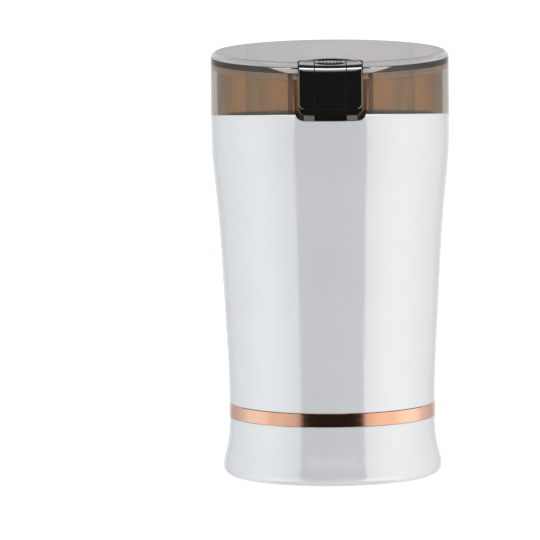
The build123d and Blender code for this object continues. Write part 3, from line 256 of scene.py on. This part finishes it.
world_strength = 0.06
world = bpy.data.worlds.new("studio")
world.use_nodes = True
world_light = world.node_tree.nodes["Background"]
world_light.inputs["Color"].default_value = (1.0, 1.0, 1.0, 1)
world_light.inputs["Strength"].default_value = world_strength
scene.world = world
print("floor in metres:", 2 * floor_half, "world strength:", world_strength)

# %% [markdown]
# A finish of one flat colour looks like paper, so a noise of a chosen grain moves the
# roughness, the colour or the bump of each. Painted image textures would do the same for
# one picture, but noise in the object's own space stays sharp at every distance and wraps
# round each piece without seams.


# %% Grain
def drive(material, socket, source):
    """Lets the output of a node set a socket of the shader."""
    tree = material.node_tree
    tree.links.new(source, tree.nodes["Principled BSDF"].inputs[socket])


def grain(material, scale, stretch=(1, 1, 1), detail=4):
    """Noise in the object's space, scale in features per metre; returns its output socket."""
    tree = material.node_tree
    place = tree.nodes.new("ShaderNodeTexCoord")
    mapping = tree.nodes.new("ShaderNodeMapping")
    mapping.inputs["Scale"].default_value = stretch
    noise = tree.nodes.new("ShaderNodeTexNoise")
    noise.inputs["Scale"].default_value = scale
    noise.inputs["Detail"].default_value = detail
    tree.links.new(place.outputs["Object"], mapping.inputs["Vector"])
    tree.links.new(mapping.outputs["Vector"], noise.inputs["Vector"])
    return noise.outputs["Fac"]


# %% Gloss
noise_low = 0.3  # a noise seldom leaves the range between these two
noise_high = 0.7


def spread(source, start, end, source_start=0.0, source_end=1.0):
    """Number that goes from start to end while the source goes over its own range."""
    tree = source.id_data
    node = tree.nodes.new("ShaderNodeMapRange")
    node.inputs["From Min"].default_value = source_start
    node.inputs["From Max"].default_value = source_end
    node.inputs["To Min"].default_value = start
    node.inputs["To Max"].default_value = end
    tree.links.new(source, node.inputs["Value"])
    return node.outputs["Result"]


def vary(material, source, low, high):
    """Lets a noise move the roughness between low and high."""
    drive(material, "Roughness", spread(source, low, high, noise_low, noise_high))


# %% Bump
def emboss(material, source, height, edge_radius=0.0):
    """Bump whose full height is given in metres, over edges that are rounded to a radius."""
    tree = material.node_tree
    bump = tree.nodes.new("ShaderNodeBump")
    bump.inputs["Distance"].default_value = height
    if edge_radius:
        bevel = tree.nodes.new("ShaderNodeBevel")
        bevel.samples = 6
        bevel.inputs["Radius"].default_value = edge_radius
        tree.links.new(bevel.outputs["Normal"], bump.inputs["Normal"])
    tree.links.new(source, bump.inputs["Height"])
    drive(material, "Normal", bump.outputs["Normal"])


# %% Coating
def coat_nodes(material, *names):
    """Puts a material into every slot of the named solids."""
    for name in names:
        slots = nodes[name].data.materials
        if not slots:
            slots.append(material)
        for index in range(len(slots)):
            slots[index] = material
    print(material.name, "on", ", ".join(names))


# %% [markdown]
# Some pieces change their colour from place to place, such as a rim or a score line. They
# could be cut into several solids, but a real moulding is one piece, so the finish reads
# the place of each point instead. A mask is a number that is 1 inside such a place and 0
# outside. Each helper finds the node tree that it works in from the sockets it is given.


# %% Reckoning with places
def coordinates(material):
    """Three sockets with the x, y and z of a point in the object's space, in metres."""
    tree = material.node_tree
    place = tree.nodes.new("ShaderNodeTexCoord")
    split = tree.nodes.new("ShaderNodeSeparateXYZ")
    tree.links.new(place.outputs["Object"], split.inputs["Vector"])
    return split.outputs


def feed(socket, value):
    """Gives a socket its value: the output of a node, a colour or a plain number."""
    if isinstance(value, bpy.types.NodeSocket):
        socket.id_data.links.new(value, socket)
    elif isinstance(value, tuple):
        socket.default_value = (*value, 1)
    else:
        socket.default_value = value


def compute(operation, *values):
    """Result of a Math node; each value is a socket or a number."""
    tree = next(value.id_data for value in values if isinstance(value, bpy.types.NodeSocket))
    node = tree.nodes.new("ShaderNodeMath")
    node.operation = operation
    for socket, value in zip(node.inputs, values):
        feed(socket, value)
    return node.outputs["Value"]


def way(value, low, high):
    """How far a value has come on its way from low to high, as a share."""
    return compute("DIVIDE", compute("SUBTRACT", value, low), high - low)


# %% Masks
def above(value, limit):
    """Mask that is 1 where a value is over a limit."""
    return compute("GREATER_THAN", value, limit)


def below(value, limit):
    """Mask that is 1 where a value is under a limit."""
    return compute("LESS_THAN", value, limit)


def both(mask, *others):
    """Mask that is 1 where all the given masks are."""
    for other in others:
        mask = compute("MINIMUM", mask, other)
    return mask


def either(mask, *others):
    """Mask that is 1 where any of the given masks is."""
    for other in others:
        mask = compute("MAXIMUM", mask, other)
    return mask


# %% [markdown]
# Two helpers lay colours with such numbers: a ramp for a colour that changes along a way,
# and a blend for one colour over another. Both return a socket, so that one can feed the
# next, and a finish is built up in layers as paint is.


# %% Colours by place
def ramp(share, *stops):
    """Colour by a share; each stop is a share and its colour."""
    tree = share.id_data
    node = tree.nodes.new("ShaderNodeValToRGB")
    for _ in stops[2:]:
        node.color_ramp.elements.new(0.5)
    for element, (position, color) in zip(node.color_ramp.elements, stops):
        element.position = position
        element.color = (*color, 1)
    tree.links.new(share, node.inputs["Fac"])
    return node.outputs["Color"]


def blend(share, under, over):
    """Colour between two by a share; each colour is a socket or three numbers."""
    tree = share.id_data
    node = tree.nodes.new("ShaderNodeMix")
    node.data_type = "RGBA"
    tree.links.new(share, node.inputs["Factor"])
    color_sockets = [socket for socket in node.inputs if socket.type == "RGBA"]
    feed(color_sockets[0], under)
    feed(color_sockets[1], over)
    return next(socket for socket in node.outputs if socket.type == "RGBA")


# %% [markdown]
# The shells are injection moulded in a glossy white plastic with a clear lacquer. One
# glossy layer reflects too little to draw the form. A lacquer over it about doubles the
# reflections, and they are what makes the bright flanks stand out. A faint, wide
# unevenness keeps them from looking computed. The upper rim of the body shows as a bright
# line under the lid, so a mask gives it a whiter white as a painted highlight. The
# bottom cover is of the same plastic, but is left dull.

# %% White shells
rim_height = 0.7 * MM
rim_painted_highlight = (0.98, 0.98, 0.98)
shell_dark = (0.727, 0.745, 0.763)
shell_light = (0.743, 0.760, 0.778)
shell_edge_radius = 0.5 * MM
white_gloss = finish(
    "white_gloss",
    color=(0.735, 0.752, 0.77),
    roughness=0.12,
    Coat_Weight=1.0,
    Coat_Roughness=0.02,
    IOR=1.5,
    Coat_IOR=1.75,
)
shell_clouds = grain(white_gloss, scale=60)
shell_color = ramp(shell_clouds, (noise_low, shell_dark), (noise_high, shell_light))
body_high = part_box("body_shell")[1]
# painted highlight: the top of the body's rim is painted a whiter white
on_rim_highlight = above(coordinates(white_gloss)[2], body_high.z - rim_height)
drive(white_gloss, "Base Color", blend(on_rim_highlight, shell_color, rim_painted_highlight))
shell_skin = grain(white_gloss, scale=900, detail=2)
emboss(white_gloss, shell_skin, height=2e-6, edge_radius=shell_edge_radius)
coat_nodes(white_gloss, "body_shell", "base_shell")

# %% Bottom cover
white_satin = finish("white_satin", color=(0.62, 0.63, 0.64), roughness=0.45)
emboss(white_satin, grain(white_satin, scale=4000), height=2e-5)
coat_nodes(white_satin, "bottom_cover")

# %% [markdown]
# The ring between body and base is plated in rose gold. A metal is deeper in colour where
# it faces the eye and paler where it turns away. The shader alone does that only at the
# very edge, so a ramp over the Layer Weight spreads it over the sides of the ring. The
# polishing marks run round the ring, so the noise is drawn out along the circumference by
# squeezing it in height.

# %% Rose gold ring
plating_deep = (0.50, 0.275, 0.185)
plating_pale = (1.0, 0.62, 0.47)
rose_gold = finish("rose_gold", color=(0.5, 0.27, 0.19), roughness=0.16, Metallic=1.0)
ring_turned = rose_gold.node_tree.nodes.new("ShaderNodeLayerWeight").outputs["Facing"]
drive(rose_gold, "Base Color", ramp(ring_turned, (0.20, plating_deep), (0.42, plating_pale)))
ring_marks = grain(rose_gold, scale=40, stretch=(1, 1, 60))
vary(rose_gold, ring_marks, low=0.13, high=0.2)
emboss(rose_gold, ring_marks, height=4e-6)
coat_nodes(rose_gold, "trim_ring")

# %% [markdown]
# The lid is moulded in a clear plastic with a brown smoke in it. A tinted volume would be
# the nearest to the real thing, but it makes all of the lid one brown. Here each surface
# takes its own share of the tint: the outer skin a grey one and the inside a warmer one,
# so the top looks grey and the walls look brown, and light that glances off the outside
# stays white.

# %% Smoked lid
lid_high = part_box("lid_cover")[1]
skin_depth = 1.2 * MM  # the outer skin is what lies less deep than this
outer_tint = (0.40, 0.34, 0.27)
smoke = finish("smoke", color=outer_tint, roughness=0.0, Transmission_Weight=1.0, IOR=1.47)
place_x, place_y, place_z = coordinates(smoke)
side = compute("ABSOLUTE", place_x)
x_squared = compute("MULTIPLY", place_x, place_x)
y_squared = compute("MULTIPLY", place_y, place_y)
radius = compute("SQRT", compute("ADD", x_squared, y_squared))
on_wall = above(radius, lid_high.x - skin_depth)
on_top = above(place_z, lid_high.z - skin_depth)
on_skin = either(on_wall, on_top)
print("lid radius in mm:", round(lid_high.x / MM, 1))

# %% [markdown]
# Under its rounded edge the wall looks into the thick corner of the moulding, which bends
# and swallows the light. From outside that gives a pale edge, a dark ring below it with a
# gleam on each side of the button, and a golden band under the ring. A tint that sits on
# the surfaces knows nothing of how thick the plastic is, so masks say where each one lies
# and the colour paints them in: a painted pale reflection on the edge, painted shade in
# the dark ring, painted highlights for the gleams and a painted golden reflection in the
# band.

# %% Places on the lid
lid_edge_radius = 2.4 * MM
lid_edge_height = 2.0 * MM
corner_low_z = lid_high.z - 4.4 * MM
gold_reflection_low_z = lid_high.z - 6.8 * MM
gold_reflection_strength = 0.6
gleam_low_z = lid_high.z - 4.2 * MM
gleam_high_z = lid_high.z - 2.5 * MM
gleam_reach = 24 * MM  # from the middle to the end of the gleam
gleam_level = 17 * MM  # from the middle to where its lower line starts to rise
gleam_slope = 0.24
pocket_side = 15.95 * MM  # from the middle to the side wall of the button's pocket
pocket_wall_half = 0.95 * MM
foot_high_z = body_high.z - 0.3 * MM  # the frame of the pocket ends in feet below the rim
foot_y = -46.3 * MM

in_front = below(place_y, 0.0)
near_edge = above(radius, lid_high.x - lid_edge_radius)
on_edge = both(near_edge, above(place_z, lid_high.z - lid_edge_height))
# painted highlights: a gleam on each side of the button, in front
beyond_level = compute("MAXIMUM", compute("SUBTRACT", side, gleam_level), 0.0)
gleam_floor = compute("ADD", gleam_low_z, compute("MULTIPLY", beyond_level, gleam_slope))
near_pocket = both(below(side, gleam_reach), in_front)
gleam_place = both(near_pocket, below(place_z, gleam_high_z), above(place_z, gleam_floor))
in_gleam = both(gleam_place, on_wall)
in_corner = both(on_wall, above(place_z, corner_low_z))
# painted shade: the dark ring under the edge, where there is no gleam
in_painted_dark_ring = compute("SUBTRACT", in_corner, both(in_corner, gleam_place))
# painted golden reflection: a band under the dark ring
in_gold_reflection = both(on_wall, above(place_z, gold_reflection_low_z), below(place_z, corner_low_z))
# painted shade: a dark band on the wall at each side of the button's pocket
beside_pocket = both(compute("COMPARE", side, pocket_side, pocket_wall_half), in_front)
in_pocket_wall = both(beside_pocket, on_wall, below(place_z, gleam_low_z))
# painted light: the feet of the pocket's frame are painted a lighter grey, for the white body
# behind them
in_foot = both(below(place_z, foot_high_z), below(place_y, foot_y))
some_gold_reflection = compute("MULTIPLY", in_gold_reflection, gold_reflection_strength)
# places of painted light and shade, the golden band at a share of it; none beside the pocket
painted_light_places = either(on_edge, in_gleam, in_foot, some_gold_reflection)
painted_light_share = compute("MULTIPLY", painted_light_places, compute("SUBTRACT", 1.0, in_pocket_wall))
print("dark ring in mm below the top:", round((lid_high.z - corner_low_z) / MM, 1))

# %% [markdown]
# The masks now lay the colours over each other, from the inside of the lid to its feet. A
# wall that is seen at a slant is crossed on a longer way, so it is darker. Seen from
# within the plastic it seems to turn away less than from the open side, and a factor makes
# up for that. The places of painted light, the pale and golden ones and the lighter feet,
# also let less light through, so that the painted colour shows. The painted shade at the
# side stands where the edge of the bowl would darken the wall.

# %% Colours of the lid
inner_tint = (0.86, 0.50, 0.22)
slanted_tint = (0.02, 0.01, 0.006)
# painted shade where the edge of the bowl would darken the wall
bowl_edge_painted_shade = (0.176, 0.204, 0.1836)
# painted shade of the dark ring
dark_ring_painted_shade = (0.02, 0.013, 0.012)
# painted shade beside the pocket
pocket_wall_painted_shade = (0.05, 0.032, 0.027)
# painted golden reflection under the ring
gold_painted_reflection = (0.34, 0.175, 0.07)
# painted light of the feet
foot_painted_light = (0.23, 0.195, 0.17)
within_factor = 1.9
bowl_shade_reach = 50 * MM
# how far down the painted light of the upper wall reaches, and how much less light it lets
# through
painted_light_depth = 7.0 * MM
painted_light_strength = 0.8

from_within = smoke.node_tree.nodes.new("ShaderNodeNewGeometry").outputs["Backfacing"]
facing = smoke.node_tree.nodes.new("ShaderNodeLayerWeight").outputs["Facing"]
within_share = compute("MULTIPLY", from_within, within_factor)
slant = compute("MULTIPLY", facing, compute("ADD", 1.0, within_share))
inner_color = ramp(slant, (0.50, inner_tint), (0.80, slanted_tint))
# painted shade, deepest at the edge of the bowl, where it ends at once
painted_bowl_shade = ramp(
    way(side, 0.0, bowl_shade_reach),
    (0.50, outer_tint),
    (0.665, bowl_edge_painted_shade),
    (0.675, outer_tint),
)
# painted golden reflection under the ring, painted pale highlights in the gleams and on the
# edge, and painted shade where the top begins
painted_light_color = ramp(
    way(place_z, lid_high.z - painted_light_depth, lid_high.z),
    (0.36, gold_painted_reflection),
    (0.38, (0.60, 0.60, 0.585)),
    (0.70, (0.58, 0.58, 0.565)),
    (0.90, (0.44, 0.437, 0.425)),
    (0.982, (0.33, 0.328, 0.318)),
    (1.0, (0.03, 0.03, 0.029)),
)
# painted shades first, then the painted light above them, then the lighter feet
skin_color = blend(in_painted_dark_ring, painted_bowl_shade, dark_ring_painted_shade)
skin_color = blend(in_pocket_wall, skin_color, pocket_wall_painted_shade)
skin_color = blend(painted_light_share, skin_color, painted_light_color)
lid_color = blend(in_foot, blend(on_skin, inner_color, skin_color), foot_painted_light)
drive(smoke, "Base Color", lid_color)
# the places of painted light let less light through, so that it shows
clearness = compute("SUBTRACT", 1.0, compute("MULTIPLY", painted_light_share, painted_light_strength))
drive(smoke, "Transmission Weight", clearness)
coat_nodes(smoke, "lid_cover")

# %% [markdown]
# The button is moulded in black and polished, so it is drawn by thin highlights alone. Two
# scored lines run over its top and down its front. The solid has them as grooves, and a
# groove that narrow stays dull when the rest is polished, so a mask takes the gloss away
# there. A second material in the grooves would do it as well, but its faces would have to
# be picked out.

# %% Black button
score_x = 6.3 * MM
score_half = 0.2 * MM
polished = 0.1
dull = 1.0
black_gloss = finish(
    "black_gloss",
    color=(0.005, 0.005, 0.004),
    roughness=polished,
    Coat_Weight=1.0,
    Coat_Roughness=0.03,
    Coat_IOR=2.0,
)
emboss(black_gloss, grain(black_gloss, scale=1500, detail=2), height=1e-6)
button_side = compute("ABSOLUTE", coordinates(black_gloss)[0])
in_score = compute("COMPARE", button_side, score_x, score_half)
drive(black_gloss, "Roughness", spread(in_score, start=polished, end=dull))
drive(black_gloss, "Coat Weight", spread(in_score, start=1.0, end=0.0))
coat_nodes(black_gloss, "press_button")

# %% [markdown]
# A low lens lies in the button's recess, and lets a finger find the spot without looking.
# It could be a flattened sphere, but the recess is curved, so a sphere would sink in at
# one side. Instead it is draped over the button: a ray from above finds the height of the
# solid at each point, so nothing hangs in the air or has to be measured twice.


# %% Heights on the button
button_faces = BVHTree.FromObject(nodes["press_button"], bpy.context.evaluated_depsgraph_get())
button_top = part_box("press_button")[1].z
ray_start_z = 1  # metres, well above the button
rim_places = (12 * MM, 8 * MM, 0)  # tried in this order, from the pad's rim inwards
pad_depth = 4 * MM  # no part of the pad lies deeper under the top than this


def height_at(x, y):
    """Height of the button's upper face at a place, or None beside the button."""
    hit = button_faces.ray_cast(Vector((x, y, ray_start_z)), Vector((0, 0, -1)))[0]
    return None if hit is None else hit.z


def dome_height(y):
    """Height of the pad's rim beside a place in its recess."""
    for x in rim_places:
        height = height_at(x, y)
        if height is not None and height > button_top - pad_depth:
            return height
    return button_top


print("top of the button in mm:", round(button_top / MM, 1))

# %% Points of the finger lens
lens_y = -39.8 * MM
lens_half_width = 6.4 * MM
lens_half_depth = 5.0 * MM
lens_rise = 0.3 * MM
lens_sink = 0.15 * MM  # how far its foot goes into the pad
lens_headroom = 0.02 * MM  # it stays this far under the top of the button
lens_rings = 8
lens_steps = 48


def lens_height(share, y):
    """Height of the lens at a share of its radius: level in the middle, round at its edge."""
    return min(dome_height(y) + lens_rise * (1 - share**4), button_top - lens_headroom)


def lens_place(share, step):
    """The x and y of a point of the lens, by its share of the radius and its step round it."""
    turn = 2 * pi * step / lens_steps
    return share * lens_half_width * cos(turn), lens_y + share * lens_half_depth * sin(turn)


lens_points = [(0, lens_y, lens_height(0, lens_y))]
for ring in range(1, lens_rings + 1):
    share = ring / lens_rings
    for step in range(lens_steps):
        x, y = lens_place(share, step)
        lens_points.append((x, y, lens_height(share, y)))
for step in range(lens_steps):
    x, y = lens_place(1, step)
    lens_points.append((x, y, height_at(x, y) - lens_sink))
print("lens points:", len(lens_points))

# %% Finger lens
lens_faces = [(0, 1 + step, 1 + (step + 1) % lens_steps) for step in range(lens_steps)]
for ring in range(lens_rings):
    inner = 1 + ring * lens_steps
    outer = inner + lens_steps
    for step in range(lens_steps):
        after = (step + 1) % lens_steps
        lens_faces.append((inner + step, outer + step, outer + after, inner + after))
foot_start = len(lens_points) - lens_steps
lens_faces.append(tuple(reversed(range(foot_start, len(lens_points)))))

lens_mesh = bpy.data.meshes.new("finger_lens")
lens_mesh.from_pydata(lens_points, [], lens_faces)
lens_mesh.polygons.foreach_set("use_smooth", [True] * len(lens_faces))
lens_mesh.materials.append(black_gloss)
finger_lens = bpy.data.objects.new("finger_lens", lens_mesh)
scene.collection.objects.link(finger_lens)
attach(finger_lens, "press_button")
print("lens faces:", len(lens_faces))

# %% [markdown]
# Seven small dots stand in a row on the lens, for the finger to feel. They are moulded in
# one with it, so each is a ball that is a little more than half sunk in the lens and drawn
# out in height. A bump in the finish could draw them, but it would leave their outline
# flat.

# %% Finger dots
dot_count = 7
dot_pitch = 1.35 * MM
dot_radius = 0.42 * MM
dot_sink = 0.1 * MM
dot_stretch = 1.1
dot_y = -41.0 * MM
dot_z = lens_height(0, dot_y) - dot_sink
dot_shape = Matrix.Diagonal((1, 1, dot_stretch, 1))
dots = bmesh.new()
for index in range(dot_count):
    place = Matrix.Translation(((index - (dot_count - 1) / 2) * dot_pitch, dot_y, dot_z))
    bmesh.ops.create_icosphere(dots, subdivisions=3, radius=dot_radius, matrix=place @ dot_shape)
dots_mesh = bpy.data.meshes.new("finger_dots")
dots.to_mesh(dots_mesh)
dots.free()
dots_mesh.polygons.foreach_set("use_smooth", [True] * len(dots_mesh.polygons))
dots_mesh.materials.append(black_gloss)
finger_dots = bpy.data.objects.new("finger_dots", dots_mesh)
scene.collection.objects.link(finger_dots)
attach(finger_dots, "press_button")
print("dots:", dot_count, "faces:", len(dots_mesh.polygons))

# %% [markdown]
# The bowl is spun from stainless sheet. Spinning leaves fine rings, drawn here by a noise
# that is squeezed in height. An anisotropic shader would stretch the gleam in the same
# way, but without the single rings. The blade is ground across its length, so its marks
# are squeezed along it.

# %% Steel bowl and blade
bowl_steel = finish("bowl_steel", color=(0.62, 0.60, 0.57), roughness=0.2, Metallic=1.0)
bowl_rings = grain(bowl_steel, scale=30, stretch=(1, 1, 80))
vary(bowl_steel, bowl_rings, low=0.12, high=0.26)
emboss(bowl_steel, bowl_rings, height=3e-6)
coat_nodes(bowl_steel, "grinding_bowl")

blade_steel = finish("blade_steel", color=(0.66, 0.66, 0.65), roughness=0.3, Metallic=1.0)
blade_marks = grain(blade_steel, scale=150, stretch=(8, 1, 1))
vary(blade_steel, blade_marks, low=0.22, high=0.36)
coat_nodes(blade_steel, "grinding_blade", "blade_nut", "blade_washer", "bowl_nut", "motor_shaft")

# %% [markdown]
# The hidden pieces could all share one grey, since they hardly ever show. Each still gets
# the finish of its real material, because the grinder may be opened or looked at from
# below. First come the rubbers and plastics, whose noise is as fine as a moulded skin.

# %% Hidden rubbers and plastics
rubber = finish("rubber", color=(0.02, 0.02, 0.02), roughness=0.7)
emboss(rubber, grain(rubber, scale=2500), height=3e-5)
coat_nodes(rubber, "rubber_feet", "rubber_dampers", "cord_gland")

silicone = finish("silicone", color=(0.62, 0.61, 0.58), roughness=0.45)
vary(silicone, grain(silicone, scale=500), low=0.4, high=0.5)
coat_nodes(silicone, "bowl_gasket", "shaft_seal")

dark_plastic = finish("dark_plastic", color=(0.045, 0.045, 0.05), roughness=0.45)
emboss(dark_plastic, grain(dark_plastic, scale=3000), height=2e-5)
coat_nodes(
    dark_plastic,
    "motor_carrier",
    "switch_rod",
    "switch_pin",
    "power_switch",
    "upper_bearing_bracket",
    "lower_bearing_bracket",
)

fan_plastic = finish("fan_plastic", color=(0.6, 0.6, 0.57), roughness=0.4)
vary(fan_plastic, grain(fan_plastic, scale=300), low=0.35, high=0.45)
coat_nodes(fan_plastic, "cooling_fan")

capacitor_yellow = finish("capacitor_yellow", color=(0.68, 0.45, 0.03), roughness=0.3)
vary(capacitor_yellow, grain(capacitor_yellow, scale=400), low=0.25, high=0.35)
coat_nodes(capacitor_yellow, "interference_capacitor")

# %% [markdown]
# The metals follow. Screws and springs are plated with zinc. The cores of the motor are
# stacks of thin sheets and its coils are wound wire, so their noise is squeezed in height
# until it reads as layers. Real wires could be modelled turn by turn, but nobody sees them
# one by one. Bronze bushes are pressed from powder, and are spotted rather than scratched.

# %% Screws and springs
zinc = finish("zinc", color=(0.66, 0.66, 0.64), roughness=0.3, Metallic=1.0)
vary(zinc, grain(zinc, scale=600), low=0.25, high=0.4)
coat_nodes(
    zinc,
    "base_screws",
    "carrier_screws",
    "damper_screws",
    "motor_screws",
    "button_spring",
    "switch_spring",
    "brush_springs",
)

# %% Metals of the motor
lamination = finish("lamination", color=(0.22, 0.22, 0.23), roughness=0.45, Metallic=1.0)
emboss(lamination, grain(lamination, scale=100, stretch=(1, 1, 40)), height=2e-5)
coat_nodes(lamination, "stator_core", "armature_core")

copper = finish("copper", color=(0.62, 0.27, 0.12), roughness=0.3, Metallic=1.0)
emboss(copper, grain(copper, scale=500, stretch=(1, 1, 6)), height=1e-4)
coat_nodes(copper, "field_coils", "armature_windings", "commutator")

bronze_dark = (0.36, 0.22, 0.10)
bronze_light = (0.50, 0.33, 0.15)
bronze = finish("bronze", color=(0.45, 0.29, 0.13), roughness=0.45, Metallic=1.0)
bronze_spots = grain(bronze, scale=2500)
bronze_color = ramp(bronze_spots, (noise_low, bronze_dark), (noise_high, bronze_light))
drive(bronze, "Base Color", bronze_color)
coat_nodes(bronze, "upper_bushing", "lower_bushing")

brass = finish("brass", color=(0.72, 0.52, 0.22), roughness=0.25, Metallic=1.0)
vary(brass, grain(brass, scale=500), low=0.2, high=0.35)
coat_nodes(brass, "brush_holders", "switch_terminals")

carbon = finish("carbon", color=(0.03, 0.03, 0.032), roughness=0.55)
emboss(carbon, grain(carbon, scale=5000), height=1e-5)
coat_nodes(carbon, "carbon_brushes")

# %% [markdown]
# Two springs shorten when the button goes down. A solid can't do that, and a spring that
# is bent by bones would need a joint for each turn. So a copy of each spring, with a mesh
# of its own, stands in for it on its body, and the spring itself is hidden.


# %% Stand-in springs
def shortening_spring(name, node, body):
    """Copy of a spring, with a mesh of its own, that rides on a body in place of the hidden
    spring.
    """
    spring = bpy.data.objects.new(name, nodes[node].data.copy())
    scene.collection.objects.link(spring)
    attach(spring, body)
    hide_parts(node)
    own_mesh(spring)


shortening_spring("button_coil", "button_spring", "lid")
shortening_spring("switch_coil", "switch_spring", "housing")
